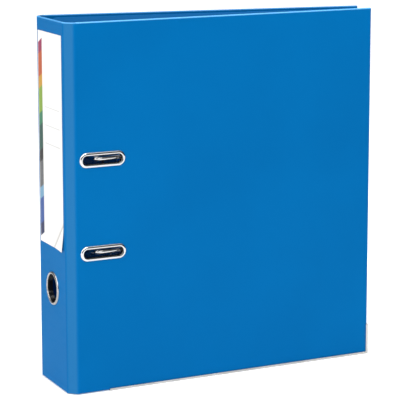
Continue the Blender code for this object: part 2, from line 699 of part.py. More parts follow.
def lever_roller(parent):
    """A plastic roller on the pin, with crowned ends."""
    end = LEVER_HALF_WIDTH - LEVER_SHEET - GAP
    bore = ROLLER_PIN + GAP
    profile = [(bore, -end), (ROLLER_RADIUS - 2 * GAP, -end), (ROLLER_RADIUS, 2 * GAP - end)]
    profile += [(ROLLER_RADIUS, end - 2 * GAP), (ROLLER_RADIUS - 2 * GAP, end), (bore, end)]
    return add_piece("lever_roller", turned(profile, ROUND_STEPS, "Z"),
                     lambda name: material(name, DARK_PLASTIC, 0.4, 0.0), parent)


def spring_rivet_x():
    return (SPRING_BEND + SPRING_END) / 2 + SPRING


def spring_leaf(parent):
    """A bowed leaf, riveted at one end, with its free end under the tongue."""
    lift = TONGUE_TOP - TONGUE - GAP - SPRING - SEAT
    span = SPRING_BEND - SPRING_TIP
    shares = [i / SPRING_STEPS for i in range(SPRING_STEPS + 1)]
    rise = [(SPRING_BEND - span * t, SEAT + lift * math.sin(t * math.pi / 2)) for t in shares]
    under = [(SPRING_END, SEAT)] + rise
    outline = under + [(x, u + SPRING) for x, u in reversed(under)]
    bm = prism(outline, ARCH_HEIGHT - SPRING_HALF_WIDTH, ARCH_HEIGHT + SPRING_HALF_WIDTH, side_on)
    leaf = add_piece("spring_leaf", bm, lambda name: material(name, SPRING_STEEL, 0.35, 1.0), parent)
    place = (spring_rivet_x(), -BOARD, ARCH_HEIGHT)
    drill(leaf, "spring_bore", CHEEK_RIVET + HOLE_SPARE, -2 * SEAT - SPRING, SEAT, place, "Y", parent)
    domed_rivet("spring_rivet", parent, spring_rivet_x(), ARCH_HEIGHT, CHEEK_RIVET, SPRING_RIVET_HEAD,
                SEAT + SPRING + GAP)
    return leaf


def compressor_bar(parent):
    """A channel of thin sheet, threaded on both posts."""
    half = BAR_WIDTH / 2
    inner = half - BAR_SHEET
    outline = [(-half, 0.0), (half, 0.0), (half, BAR_LIP), (inner, BAR_LIP), (inner, BAR_SHEET)]
    outline += [(-inner, BAR_SHEET), (-inner, BAR_LIP), (-half, BAR_LIP)]
    reach = ARCH_SPACING / 2 + BAR_OVERHANG
    bar = add_piece("compressor_bar", prism(outline, -reach, reach, about_axis), nickel_finish, parent)
    for level, height in ARCH_LEVELS.items():
        place = (0.0, 0.0, height - ARCH_HEIGHT)
        drill(bar, f"{level}_bar_bore", POST_SHANK + BAR_SPARE, -BAR_LIP, BAR_LIP, place, "Y", parent)
    return bar


def stand_on_floor(root):
    """Moves the whole file so that the middle of its footprint is the origin."""
    bpy.context.view_layer.update()
    graph = bpy.context.evaluated_depsgraph_get()
    corners = []
    for obj in bpy.context.scene.objects:
        if obj.type != "EMPTY" and not obj.hide_render:
            shown = obj.evaluated_get(graph)
            corners += [shown.matrix_world @ vertex.co for vertex in shown.to_mesh().vertices]
    for axis in (0, 1):
        values = [corner[axis] for corner in corners]
        root.location[axis] = -(min(values) + max(values)) / 2
    root.location[2] = -min(corner[2] for corner in corners)


def build():
    clear_scene()
    root = frame("file")
    back = frame("back_cover_frame", root)
    back_strip = frame("back_hinge_frame", back, turn=math.pi + BACK_TURN)
    spine = frame("spine_frame", back_strip, (STRIP_WIDTH, 0.0, 0.0), BACK_TURN)
    front_strip = frame("front_hinge_frame", spine, (SPINE_WIDTH, 0.0, 0.0), FRONT_TURN)
    front = frame("front_cover_frame", front_strip, (STRIP_WIDTH, 0.0, 0.0), FRONT_TURN)
    axle_place = (arch_axle()[0], -(BOARD + AXLE_RISE), ARCH_HEIGHT)
    pivot_place = (LEVER_PIVOT_X, -(BOARD + LEVER_PIVOT_U), ARCH_HEIGHT)
    bar_place = (POST_FROM_CREASE, -(BOARD + SEAT + POST_COLLAR_RISE + GAP), ARCH_HEIGHT)
    arch = frame("arch_frame", back, axle_place)
    handle = frame("lever_frame", back, pivot_place)
    roller = frame("roller_frame", handle, (0.0, ROLLER_ARM, 0.0))
    press = frame("compressor_frame", back, bar_place)

    back_board(back)
    edge_rail("back_edge_rail", back, -1)
    hinge_foil("back_hinge_foil", back_strip, BACK_TURN)
    spine_board(spine)
    spine_label(spine)
    finger_ring(spine)
    hinge_foil("front_hinge_foil", front_strip, FRONT_TURN)
    front_board(front)
    edge_rail("front_edge_rail", front, 1)

    base_plate(back)
    case_rivets(back)
    for level in ARCH_LEVELS:
        slot_eyelet(level, front)
        post(level, back)
        bearing_clip(level, back)
        lever_cheek(level, back)
    arch_bar(arch)
    arch_tongue(arch)
    lever(handle)
    lever_pivot_pin(handle)
    roller_pin(handle)
    lever_roller(roller)
    spring_leaf(back)
    compressor_bar(press)
    stand_on_floor(root)


build()
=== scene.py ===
"""Blue lever arch file, standing closed: the looks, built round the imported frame."""

import math

import bmesh
import bpy
from mathutils import Matrix, Vector


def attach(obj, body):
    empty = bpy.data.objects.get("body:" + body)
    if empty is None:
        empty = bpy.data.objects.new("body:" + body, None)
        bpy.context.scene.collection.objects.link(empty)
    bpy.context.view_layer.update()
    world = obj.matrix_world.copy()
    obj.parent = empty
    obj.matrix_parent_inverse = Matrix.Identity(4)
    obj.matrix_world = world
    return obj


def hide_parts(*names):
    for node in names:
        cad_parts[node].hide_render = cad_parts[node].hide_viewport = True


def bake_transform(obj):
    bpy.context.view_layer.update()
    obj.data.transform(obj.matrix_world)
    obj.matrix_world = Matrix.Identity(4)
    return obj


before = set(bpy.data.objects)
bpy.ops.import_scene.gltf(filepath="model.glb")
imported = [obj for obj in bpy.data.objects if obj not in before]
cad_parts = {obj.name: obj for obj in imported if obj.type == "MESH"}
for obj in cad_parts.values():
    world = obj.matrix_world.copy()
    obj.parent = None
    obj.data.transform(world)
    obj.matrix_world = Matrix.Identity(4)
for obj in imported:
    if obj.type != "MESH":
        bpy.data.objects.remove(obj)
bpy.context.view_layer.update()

# Camera. A long lens in front of the file, to its left and a little above it, as the
# photographer stood, so that the upright edges stay almost parallel.
MM = 0.001
CAMERA_PLACE = Vector((-543.85, -1636.67, 474.32)) * MM
CAMERA_TURN = math.radians(-17.926)
CAMERA_DIP = math.radians(10.507)
CAMERA_ROLL = math.radians(-0.07)
lens = bpy.data.cameras.new("photo_lens")
lens.sensor_width = 36.0
lens.lens = 179.748
camera = bpy.data.objects.new("photo_camera", lens)
bpy.context.scene.collection.objects.link(camera)
camera.matrix_world = (
    Matrix.Translation(CAMERA_PLACE)
    @ Matrix.Rotation(CAMERA_TURN, 4, "Z")
    @ Matrix.Rotation(math.pi / 2 - CAMERA_DIP, 4, "X")
    @ Matrix.Rotation(CAMERA_ROLL, 4, "Z")
)
bpy.context.scene.camera = camera
bpy.context.scene.view_settings.view_transform = "Standard"


# Studio. A white paper floor that runs far back, soft boxes over and beside the file, and a
# pale room whose darker band near the horizon gives the bright metal something to mirror.
class Wire:
    """A shader socket that takes part in plain arithmetic."""

    def __init__(self, tree, socket=None):
        self.tree = tree
        self.socket = socket

    def node(self, kind, settings, inputs, output=0):
        made = self.tree.nodes.new("ShaderNode" + kind)
        for name, value in settings.items():
            if name == "stops":
                ramp = made.color_ramp.elements
                while len(ramp) < len(value):
                    ramp.new(1.0)
                for element, (position, colour) in zip(ramp, value):
                    element.position = position
                    element.color = colour
            elif name == "steps":
                made.color_ramp.interpolation = value
            else:
                setattr(made, name, value)
        for name, value in inputs.items():
            if isinstance(value, Wire):
                self.tree.links.new(value.socket, made.inputs[name])
            else:
                made.inputs[name].default_value = value
        return Wire(self.tree, made.outputs[output] if made.outputs else None)

    def math(self, operation, first, second=0.0):
        return self.node("Math", {"operation": operation}, {0: first, 1: second})

    def __add__(self, other):
        return self.math("ADD", self, other)

    __radd__ = __add__

    def __sub__(self, other):
        return self.math("SUBTRACT", self, other)

    def __rsub__(self, other):
        return self.math("SUBTRACT", other, self)

    def __mul__(self, other):
        return self.math("MULTIPLY", self, other)

    __rmul__ = __mul__

    def __truediv__(self, other):
        return self.math("DIVIDE", self, other)

    def __lt__(self, other):
        return self.math("LESS_THAN", self, other)

    def __gt__(self, other):
        return self.math("GREATER_THAN", self, other)

    def ranged(self, low, high, first=0.0, last=1.0):
        """Runs smoothly from first at low to last at high."""
        inputs = {"Value": self, "From Min": low, "From Max": high, "To Min": first, "To Max": last}
        return self.node("MapRange", {"interpolation_type": "SMOOTHSTEP"}, inputs)

    def mix(self, first, second):
        """From the first colour at 0 to the second at 1."""
        return self.node("Mix", {"data_type": "RGBA"}, {0: self, 6: first, 7: second}, 2)

    def noise(self, scale, detail=2.0):
        inputs = {"Vector": self, "Scale": scale, "Detail": detail}
        return self.node("TexNoise", {}, inputs)

    def stretched(self, along, across, up):
        """The same place, scaled on each axis."""
        inputs = {"Vector": self, "Scale": (along, across, up)}
        return self.node("Mapping", {"vector_type": "TEXTURE"}, inputs)

    def part(self, axis):
        return self.node("SeparateXYZ", {}, {0: self}, axis)


def open_finish(name):
    """A new material, and the place on the piece for its patterns to read."""
    material = bpy.data.materials.new(name)
    material.use_nodes = True
    material.node_tree.nodes.clear()
    return material, Wire(material.node_tree).node("TexCoord", {}, {}, "Object")


def close_finish(place, inputs):
    shader = place.node("BsdfPrincipled", {}, inputs)
    place.node("OutputMaterial", {}, {"Surface": shader})


def paper_floor():
    material, place = open_finish("studio_paper")
    tone = place.noise(2.0).ranged(0.3, 0.7, 0.0, 1.0)
    colour = tone.mix((0.93, 0.93, 0.93, 1.0), (0.95, 0.95, 0.95, 1.0))
    glow = {"Emission Color": (1.0, 1.0, 1.0, 1.0), "Emission Strength": 0.25}
    close_finish(place, {"Base Color": colour, "Roughness": 0.9, **glow})
    return material


def soft_box(name, place, aim, width, height, power):
    light = bpy.data.lights.new(name, "AREA")
    light.shape = "RECTANGLE"
    light.size, light.size_y, light.energy = width, height, power
    box = bpy.data.objects.new(name, light)
    bpy.context.scene.collection.objects.link(box)
    box.location = place
    box.rotation_euler = (Vector(aim) - Vector(place)).to_track_quat("-Z", "Y").to_euler()


FLOOR_HALF = 9.0
bm = bmesh.new()
bmesh.ops.create_grid(bm, x_segments=1, y_segments=1, size=FLOOR_HALF)
mesh = bpy.data.meshes.new("studio_floor")
bm.to_mesh(mesh)
bm.free()
mesh.materials.append(paper_floor())
floor = bpy.data.objects.new("studio_floor", mesh)
bpy.context.scene.collection.objects.link(floor)

AIM = (0.0, 0.0, 0.16)
soft_box("top_box", (0.0, 0.1, 1.8), AIM, 1.4, 1.4, 10.0)
soft_box("front_box", (0.2, -1.5, 1.6), AIM, 1.6, 0.8, 9.0)
soft_box("left_box", (-1.5, -0.9, 0.6), AIM, 0.9, 1.2, 10.0)
diffuser = bpy.data.lights.new("roof_diffuser", "SUN")
diffuser.energy = 2.2
diffuser.angle = math.radians(75.0)
roof = bpy.data.objects.new("roof_diffuser", diffuser)
bpy.context.scene.collection.objects.link(roof)
roof.rotation_euler = Vector((0.25, 0.42, -0.87)).to_track_quat("-Z", "Y").to_euler()

room = bpy.data.worlds.new("studio_room")
room.use_nodes = True
room.node_tree.nodes.clear()
look = Wire(room.node_tree).node("TexCoord", {}, {}, "Generated")
ROOM_STOPS = (
    (0.0, (0.95, 0.95, 0.95, 1.0)),
    (0.47, (0.60, 0.60, 0.60, 1.0)),
    (0.51, (0.06, 0.06, 0.065, 1.0)),
    (0.70, (0.08, 0.08, 0.085, 1.0)),
    (0.80, (0.95, 0.95, 0.95, 1.0)),
)
rise = look.part(2) * 0.5 + 0.5
tone = look.node("ValToRGB", {"stops": ROOM_STOPS}, {"Fac": rise})
glow = look.node("Background", {}, {"Color": tone, "Strength": 0.5})
look.node("OutputWorld", {}, {"Surface": glow})
bpy.context.scene.world = room


# Back board. Grey board wrapped in blue polypropylene foil, with the foil's edges turned in
# and covered by a lining sheet. Its crease side stops where the folded foil begins.
HEIGHT = 318.0
FOOT = 0.8
BOARD = 2.4
COVER = 292.0
FOIL_REACH = 2.2
RIM = 0.9
BACK_CREASE = (-144.6965, 38.964)
BACK_HEADING = 180.0
DEEP_BLUE = (0.0, 0.115, 0.335, 1.0)
CLEAR_BLUE = (0.0, 0.124, 0.357, 1.0)
TOP_HIGHLIGHT_BLUE = (0.16, 0.50, 0.92, 1.0)


def blue_foil(name, deep=DEEP_BLUE, clear=CLEAR_BLUE, top_highlight=0.5, strip=None, gloss=0.02):
    material, place = open_finish(name)
    cloud = place.noise(8.0, 3.0).ranged(0.3, 0.7)
    grain = place.noise(1500.0, 2.0)
    peel = place.noise(240.0, 1.0)
    rubbed = place.stretched(1.0, 1.0, 0.25).noise(60.0, 3.0).ranged(0.45, 0.75)
    # Painted highlight: a pale blue along the top rim, in place of the light the rounded top edge
    # catches.
    painted_top_highlight = place.part(2).ranged((HEIGHT - 1.3) * MM, (HEIGHT - 0.3) * MM, 0.0, top_highlight)
    colour = cloud.mix(deep, clear)
    if strip:
        # Painted sheen on the folded strips, weighted by a vertex attribute set on the strip
        # pieces.
        strip_sheen_mask = place.node("Attribute", {"attribute_name": "bare_strip"}, {}, "Fac")
        colour = strip_sheen_mask.mix(colour, strip)
    colour = painted_top_highlight.mix(colour, TOP_HIGHLIGHT_BLUE)
    relief = grain * 0.5 + peel * 0.5
    bump = place.node("Bump", {}, {"Strength": 0.10, "Distance": 0.1 * MM, "Height": relief})
    inputs = {"Base Color": colour, "Roughness": 0.34 + 0.08 * rubbed, "Normal": bump}
    close_finish(place, {**inputs, "Specular IOR Level": gloss})
    return material


def leaf(crease, heading):
    """Brings a link's own along, inward and up, in millimetres, into the file's frame."""
    stand = Matrix.Translation((crease[0] * MM, crease[1] * MM, 0.0))
    return stand @ Matrix.Rotation(math.radians(heading), 4, "Z") @ Matrix.Scale(MM, 4)


def slab(low, high):
    """A closed block between two corners, in millimetres."""
    bm = bmesh.new()
    low, high = Vector(low), Vector(high)
    shape = Matrix.Translation((low + high) / 2) @ Matrix.Diagonal((*(high - low), 1.0))
    bmesh.ops.create_cube(bm, size=1.0, matrix=shape)
    return bm


def soften(bm, edges, radius, segments):
    bmesh.ops.bevel(bm, geom=edges, offset=radius, segments=segments, profile=0.5,
                    affect="EDGES", material=-1, clamp_overlap=True)


def wrapped_board(first, last, free_end=None):
    """A board with rounded rims at top and foot and along its free edge."""
    bm = slab((first, 0.0, FOOT), (last, BOARD, HEIGHT))
    rims = [e for e in bm.edges if abs(e.verts[0].co.z - e.verts[1].co.z) < RIM]
    if free_end is not None:
        rims += [e for e in bm.edges if all(abs(v.co.x - free_end) < RIM for v in e.verts)]
    soften(bm, list(set(rims)), RIM, 4)
    return bm


def piece_of(name, bm, material, shape=None, crisp=40.0):
    """Closes a bmesh into a named piece, smooth up to its crisp edges."""
    if shape is not None:
        bmesh.ops.transform(bm, matrix=shape, verts=bm.verts)
    bmesh.ops.remove_doubles(bm, verts=bm.verts, dist=0.001 * MM)
    bmesh.ops.recalc_face_normals(bm, faces=bm.faces)
    mesh = bpy.data.meshes.new(name)
    bm.to_mesh(mesh)
    bm.free()
    mesh.shade_smooth()
    mesh.set_sharp_from_angle(angle=math.radians(crisp))
    mesh.materials.append(material)
    piece = bpy.data.objects.new(name, mesh)
    bpy.context.scene.collection.objects.link(piece)
    even = piece.modifiers.new("even_shading", "WEIGHTED_NORMAL")
    even.keep_sharp = True
    return piece


def pierced(bm, tool):
    """Takes the tool's shape out of a solid."""
    mesh = {}
    for name, body in (("blank", bm), ("tool", tool)):
        bmesh.ops.recalc_face_normals(body, faces=body.faces)
        mesh[name] = bpy.data.meshes.new(name)
        body.to_mesh(mesh[name])
        body.free()
    blank, punch = (bpy.data.objects.new(name, mesh[name]) for name in mesh)
    bpy.context.scene.collection.objects.link(blank)
    bpy.context.scene.collection.objects.link(punch)
    cut = blank.modifiers.new("cut", "BOOLEAN")
    cut.solver = "EXACT"
    cut.object = punch
    graph = bpy.context.evaluated_depsgraph_get()
    result = bmesh.new()
    result.from_mesh(blank.evaluated_get(graph).to_mesh())
    for obj in (blank, punch):
        bpy.data.objects.remove(obj)
    return result


case_foil = blue_foil("blue_foil")
back_leaf = leaf(BACK_CREASE, BACK_HEADING)
bm = wrapped_board(-COVER, -FOIL_REACH, -COVER)
back_cover = piece_of("back_cover_board", bm, case_foil, back_leaf)
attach(back_cover, "back_cover")
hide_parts("back_board")


# Spine board. The same wrapped board between the two folded strips, with a round hole
# punched through it for the finger ring.
SPINE = 66.0
RING_HEIGHT = 86.0
RING_HOLE = 13.1
SPINE_CREASE = (-151.2667, 31.6927)
SPINE_HEADING = -84.2
# Spine blues painted a little lighter and greyer than the case foil: a painted sheen in place of
# gloss, which is turned down on the spine.
SPINE_SHEEN_DEEP = (0.004, 0.128, 0.355, 1.0)
SPINE_SHEEN_CLEAR = (0.006, 0.137, 0.375, 1.0)


def round_punch(middle, radius, steps=64):
    """A plug through a board's thickness, for a round hole."""
    bm = bmesh.new()
    shape = Matrix.Translation(middle) @ Matrix.Rotation(math.pi / 2, 4, "X")
    bmesh.ops.create_cone(bm, cap_ends=True, segments=steps, radius1=radius, radius2=radius,
                          depth=6 * BOARD, matrix=shape)
    return bm


spine_sheen_foil = blue_foil("spine_sheen_foil", SPINE_SHEEN_DEEP, SPINE_SHEEN_CLEAR, gloss=0.006)
spine_leaf = leaf(SPINE_CREASE, SPINE_HEADING)
ring_middle = Vector((SPINE / 2, 0.0, RING_HEIGHT))
bm = pierced(wrapped_board(FOIL_REACH, SPINE - FOIL_REACH), round_punch(ring_middle, RING_HOLE))
spine = piece_of("spine_wrapped_board", bm, spine_sheen_foil, spine_leaf)
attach(spine, "spine")
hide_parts("spine_board")


# Front board. Wrapped like the back board, with two long slots near the spine that the
# arches pass through when the file is closed.
SLOT_FROM_CREASE = 25.2
SLOT_HALF_STRAIGHT = 14.75
SLOT_RADIUS = 3.5
SLOT_WALL = 0.7
ARCH_LEVELS = {"upper": 202.0, "lower": 122.0}
FRONT_CREASE = (-136.7652, -39.8604)
FRONT_HEADING = 10.3


def slot_punch(middle, radius):
    """A round plug pulled apart along the board into a long slot."""
    bm = round_punch((0.0, 0.0, 0.0), radius)
    half_step = Matrix.Rotation(math.pi / 64, 3, "Y")
    bmesh.ops.rotate(bm, verts=bm.verts, cent=(0, 0, 0), matrix=half_step)
    for side in (1, -1):
        half = [v for v in bm.verts if v.co.x * side > 0]
        bmesh.ops.translate(bm, verts=half, vec=(side * SLOT_HALF_STRAIGHT, 0.0, 0.0))
    bmesh.ops.translate(bm, verts=bm.verts, vec=middle)
    return bm


front_leaf = leaf(FRONT_CREASE, FRONT_HEADING)
bm = wrapped_board(FOIL_REACH, COVER, COVER)
for height in ARCH_LEVELS.values():
    bm = pierced(bm, slot_punch((SLOT_FROM_CREASE, 0.0, height), SLOT_RADIUS + SLOT_WALL))
# The front board carries the strongest painted highlight along its top rim.
front_foil = blue_foil("front_foil", top_highlight=1.0)
front_cover = piece_of("front_cover_board", bm, front_foil, front_leaf)
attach(front_cover, "front_cover")
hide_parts("front_board")


# Folded strips. The foil runs on from board to board in two soft bends on each side of the
# spine, with nothing but foil in between, so that the file can open flat.
STRIP = 9.8
FOIL = 0.9
FOLD = 1.9
INNER_FOLD = FOLD * 0.8
FOIL_RIM = 0.3
NEAR = 0.01
BACK_TURN = 47.9
FRONT_TURN = 47.25
STRIP_CREASE = (-144.5969, -33.9695)
# Painted sheen: a lighter blue for the folded strips, in place of the reflection they catch.
STRIP_SHEEN_BLUE = (0.015, 0.134, 0.328, 1.0)


def folded_foil(turn, before, after):
    """A bend in the foil about its crease at the origin, from before it to after it."""
    way = Matrix.Rotation(math.radians(turn), 3, "Z") @ Vector((1.0, 0.0, 0.0))
    inner = Vector((-math.tan(math.radians(turn) / 2), 1.0, 0.0)) * FOIL
    side = Vector((-way.y, way.x, 0.0)) * FOIL
    outline = [Vector((-before, 0.0, 0.0)), Vector(), way * after]
    outline += [way * after + side, inner, Vector((-before, FOIL, 0.0))]
    bm = bmesh.new()
    face = bm.faces.new([bm.verts.new(point + Vector((0.0, 0.0, FOOT))) for point in outline])
    grown = bmesh.ops.extrude_face_region(bm, geom=[face])["geom"]
    top = [v for v in grown if isinstance(v, bmesh.types.BMVert)]
    bmesh.ops.translate(bm, verts=top, vec=(0.0, 0.0, HEIGHT - FOOT))
    folds = [e for e in bm.edges if e.calc_length() > HEIGHT / 2]
    outer_fold = [e for e in folds if e.verts[0].co.xy.length < NEAR]
    soften(bm, outer_fold, FOLD, 8)
    inner_fold = [e for e in bm.edges if e.calc_length() > HEIGHT / 2
                  and (e.verts[0].co.xy - inner.xy).length < NEAR]
    soften(bm, inner_fold, INNER_FOLD, 8)
    level = [e for e in bm.edges if abs(e.verts[0].co.z - e.verts[1].co.z) < NEAR]
    level = [e for e in level if len(e.link_faces) == 2]
    rims = [e for e in level if abs(e.link_faces[0].normal.z - e.link_faces[1].normal.z) > 0.5]
    soften(bm, rims, FOIL_RIM, 2)
    # Weight of the painted sheen, rising across the outer bend onto the strip.
    tone = bm.verts.layers.float.new("bare_strip")
    round_bend = (way + Vector((1.0, 0.0, 0.0))).normalized() * (1.0 if after > before else -1.0)
    for vert in bm.verts:
        vert[tone] = min(max(vert.co.dot(round_bend) / FOLD + 0.3, 0.0), 1.0)
    return bm


def lay_fold(name, crease, heading, turn, before, after, node):
    shape = leaf(crease, heading)
    piece = piece_of(name, folded_foil(turn, before, after), fold_finish, shape)
    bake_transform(piece)
    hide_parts(node)


HALF = STRIP / 2
fold_finish = blue_foil("folded_foil", top_highlight=0.8, strip=STRIP_SHEEN_BLUE)
lay_fold("back_cover_fold", BACK_CREASE, 180.0, BACK_TURN, FOIL_REACH, HALF,
         "back_hinge_foil")
lay_fold("back_spine_fold", SPINE_CREASE, 180.0 + BACK_TURN, BACK_TURN, HALF, FOIL_REACH,
         "back_hinge_foil")
lay_fold("front_spine_fold", STRIP_CREASE, SPINE_HEADING, FRONT_TURN, FOIL_REACH, HALF,
         "front_hinge_foil")
lay_fold("front_cover_fold", FRONT_CREASE, SPINE_HEADING + FRONT_TURN, FRONT_TURN, HALF, FOIL_REACH,
         "front_hinge_foil")


# Linings. A sheet of the same foil, heat-sealed over the turned-in edges inside each board,
# a little short of the rims, so that a raised frame of turned-in foil shows round it.
LINING = 0.3
LINING_INSET = 2.5
LINING_CORNER = 4.0
# Lining blues painted much lighter than the outer foil: painted light inside the file, where shade
# falls.
LINING_LIT_BLUE = (0.018, 0.190, 0.500, 1.0)
LINING_LIT_PALE = (0.022, 0.205, 0.530, 1.0)


def lining_sheet(first, last):
    low = (first, BOARD - LINING, FOOT + LINING_INSET)
    bm = slab(low, (last, BOARD + LINING, HEIGHT - LINING_INSET))
    corners = [e for e in bm.edges if abs(e.verts[0].co.y - e.verts[1].co.y) > LINING]
    soften(bm, corners, LINING_CORNER, 6)
    upper = [e for e in bm.edges if all(v.co.y > BOARD for v in e.verts)]
    soften(bm, upper, LINING / 2, 2)
    return bm


lit_lining_foil = blue_foil("lit_lining_foil", LINING_LIT_BLUE, LINING_LIT_PALE)
bm = lining_sheet(LINING_INSET - COVER, -2 * LINING_CORNER)
lining = piece_of("back_lining", bm, lit_lining_foil, back_leaf)
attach(lining, "back_cover")
bm = lining_sheet(2 * LINING_CORNER, COVER - LINING_INSET)
for height in ARCH_LEVELS.values():
    bm = pierced(bm, slot_punch((SLOT_FROM_CREASE, 0.0, height), SLOT_RADIUS + SLOT_WALL))
lining = piece_of("front_lining", bm, lit_lining_foil, front_leaf)
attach(lining, "front_cover")
sheet = lining_sheet(LINING_CORNER, SPINE - LINING_CORNER)
bm = pierced(sheet, round_punch(ring_middle, RING_HOLE))
lining = piece_of("spine_lining", bm, lit_lining_foil, spine_leaf)
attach(lining, "spine")


# Spine label. White paper stuck to the spine, with an index band of colours along its back
# edge and faint ruled lines to write on. The lower front corner is creased and lifting.
LABEL_LEFT, LABEL_RIGHT = 4.0, 62.0
LABEL_FOOT, LABEL_TOP = 123.0, 306.5
LABEL_SHEET = 0.22
LABEL_FACE = -0.32
LABEL_CELL = 2.0
CORNER_REACH = 22.0
CORNER_BENDS = 5
CORNER_TURN = math.radians(-1.8)
PAPER_WHITE = (0.80, 0.79, 0.77, 1.0)
PAPER_SHADE = (0.74, 0.73, 0.71, 1.0)
RULE_GREY = (0.42, 0.42, 0.43, 1.0)
CREASE_SHADE_GREY = (0.34, 0.32, 0.30, 1.0)
RULES = (0.65, 0.565, 0.48)
BAND_COLOURS = (
    (0.00, (0.008, 0.015, 0.075, 1.0)),
    (0.06, (0.02, 0.07, 0.26, 1.0)),
    (0.19, (0.14, 0.30, 0.44, 1.0)),
    (0.25, (0.10, 0.105, 0.11, 1.0)),
    (0.38, (0.006, 0.006, 0.007, 1.0)),
    (0.44, (0.008, 0.06, 0.045, 1.0)),
    (0.57, (0.02, 0.16, 0.08, 1.0)),
    (0.63, (0.18, 0.30, 0.025, 1.0)),
    (0.76, (0.48, 0.24, 0.015, 1.0)),
    (0.82, (0.42, 0.07, 0.012, 1.0)),
    (0.94, (0.26, 0.012, 0.07, 1.0)),
)
RULE_FADE = (0.0015, 0.0030)
RULE_SPAN = (0.28, 0.90)
BAND_SPAN = (0.015, 0.175)
BAND_SLANT = 0.16
BAND_FOOT = 0.02
BAND_RISE = 0.92
width, height = LABEL_RIGHT - LABEL_LEFT, LABEL_TOP - LABEL_FOOT


def label_paper():
    material, place = open_finish("label_paper")
    sheet = place.node("UVMap", {"uv_map": "label"}, {})
    across, up = sheet.part(0), sheet.part(1)
    fibre = place.stretched(1.0, 1.0, 0.35).noise(900.0, 3.0)
    cloud = place.noise(25.0, 2.0)
    colour = (cloud * 0.5 + fibre * 0.5).ranged(0.3, 0.7).mix(PAPER_SHADE, PAPER_WHITE)
    rules = 0.0
    for level in RULES:
        away = up - level
        rules = away.math("ABSOLUTE", away).ranged(*RULE_FADE, 1.0, 0.0) + rules
    ruled = rules * (across > RULE_SPAN[0]) * (across < RULE_SPAN[1])
    colour = (ruled * 0.55).mix(colour, RULE_GREY)
    slanted = (up - across * BAND_SLANT - BAND_FOOT) / BAND_RISE
    band = slanted.node("ValToRGB", {"steps": "CONSTANT", "stops": BAND_COLOURS}, {"Fac": slanted})
    inside = (across > BAND_SPAN[0]) * (across < BAND_SPAN[1]) * (slanted > 0.0) * (slanted < 1.0)
    colour = (inside * 0.94).mix(colour, band)
    wide, high = width / CORNER_REACH, height / CORNER_REACH
    past = across * wide - up * high - wide + 1.0
    # Painted shade: a grey band along the fold of the lifted corner.
    creased = past.ranged(-0.22, 0.0) * past.ranged(0.0, 0.05, 1.0, 0.0)
    colour = (creased * 0.6).mix(colour, CREASE_SHADE_GREY)
    bump = place.node("Bump", {}, {"Strength": 0.15, "Distance": 0.05 * MM, "Height": fibre})
    inputs = {"Base Color": colour, "Roughness": 0.62 - 0.15 * inside, "Normal": bump}
    close_finish(place, {**inputs, "Specular IOR Level": 0.02})
    return material


middle = Vector(((LABEL_LEFT + LABEL_RIGHT) / 2, LABEL_FACE, (LABEL_FOOT + LABEL_TOP) / 2))
shape = Matrix.Rotation(math.pi / 2, 4, "X") @ Matrix.Diagonal((width, height, 1.0, 1.0))
bm = bmesh.new()
bmesh.ops.create_grid(bm, x_segments=int(width / LABEL_CELL), y_segments=int(height / LABEL_CELL),
                      size=0.5, matrix=Matrix.Translation(middle) @ shape)
sheet_map = bm.loops.layers.uv.new("label")
for loop in (loop for face in bm.faces for loop in face.loops):
    across, up = loop.vert.co.x - LABEL_LEFT, loop.vert.co.z - LABEL_FOOT
    loop[sheet_map].uv = (across / width, up / height)
corner = Vector((LABEL_RIGHT, LABEL_FACE, LABEL_FOOT))
to_corner = Vector((1.0, 0.0, -1.0)).normalized()
fold_line = Vector((1.0, 0.0, 1.0)).normalized()
reach = CORNER_REACH / math.sqrt(2.0)
bends = [corner - to_corner * reach * (1.0 - i / (2 * CORNER_BENDS)) for i in range(CORNER_BENDS)]
for bend in reversed(bends):
    geom = list(bm.verts) + list(bm.edges) + list(bm.faces)
    bmesh.ops.bisect_plane(bm, geom=geom, dist=0.01, plane_co=bend, plane_no=to_corner)
    lifted = [v for v in bm.verts if (v.co - bend).dot(to_corner) > 0.01]
    turn = Matrix.Rotation(CORNER_TURN, 3, fold_line)
    bmesh.ops.rotate(bm, verts=lifted, cent=bend, matrix=turn)
bmesh.ops.recalc_face_normals(bm, faces=bm.faces)
bmesh.ops.solidify(bm, geom=list(bm.faces), thickness=LABEL_SHEET)
label = piece_of("spine_paper_label", bm, label_paper(), spine_leaf)
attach(label, "spine")
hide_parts("spine_label")


# Finger ring. Nickel-plated brass, pressed through the spine from outside: a rounded flange,
# a short tube through the board, and a rolled edge over a washer on the inside.
RING_BORE = 12.3
RING_WALL = 0.8
RING_RIM = 14.6
RING_PROUD = 1.3
RING_ROLL = 3.6
RING_STEPS = 72
BORE_FROM = -0.3
BORE_SPARE = 0.2
BORE_PAINTED_SHADE = 0.16
NICKEL = (0.52, 0.51, 0.49, 1.0)
NICKEL_DULL = (0.40, 0.39, 0.37, 1.0)


def nickel_plate(name, lay=(1.0, 1.0, 1.0), tone_and_shade=1.0):
    """Plated metal: a faint brushed lay, cloudy spots and small rubbed marks."""
    bright = (*(tone_and_shade * value for value in NICKEL[:3]), 1.0)
    dull = (*(tone_and_shade * value for value in NICKEL_DULL[:3]), 1.0)
    material, place = open_finish(name)
    brushed = place.stretched(*lay).noise(1200.0, 2.0)
    cloud = place.noise(45.0, 3.0).ranged(0.35, 0.7)
    spots = place.noise(420.0, 2.0).ranged(0.62, 0.72)
    colour = (cloud * 0.6 + spots * 0.3).mix(bright, dull)
    bump = place.node("Bump", {}, {"Strength": 0.08, "Distance": 0.05 * MM, "Height": brushed})
    rough = 0.20 + 0.10 * cloud + 0.08 * brushed
    close_finish(place, {"Base Color": colour, "Metallic": 1.0, "Roughness": rough, "Normal": bump})
    return material


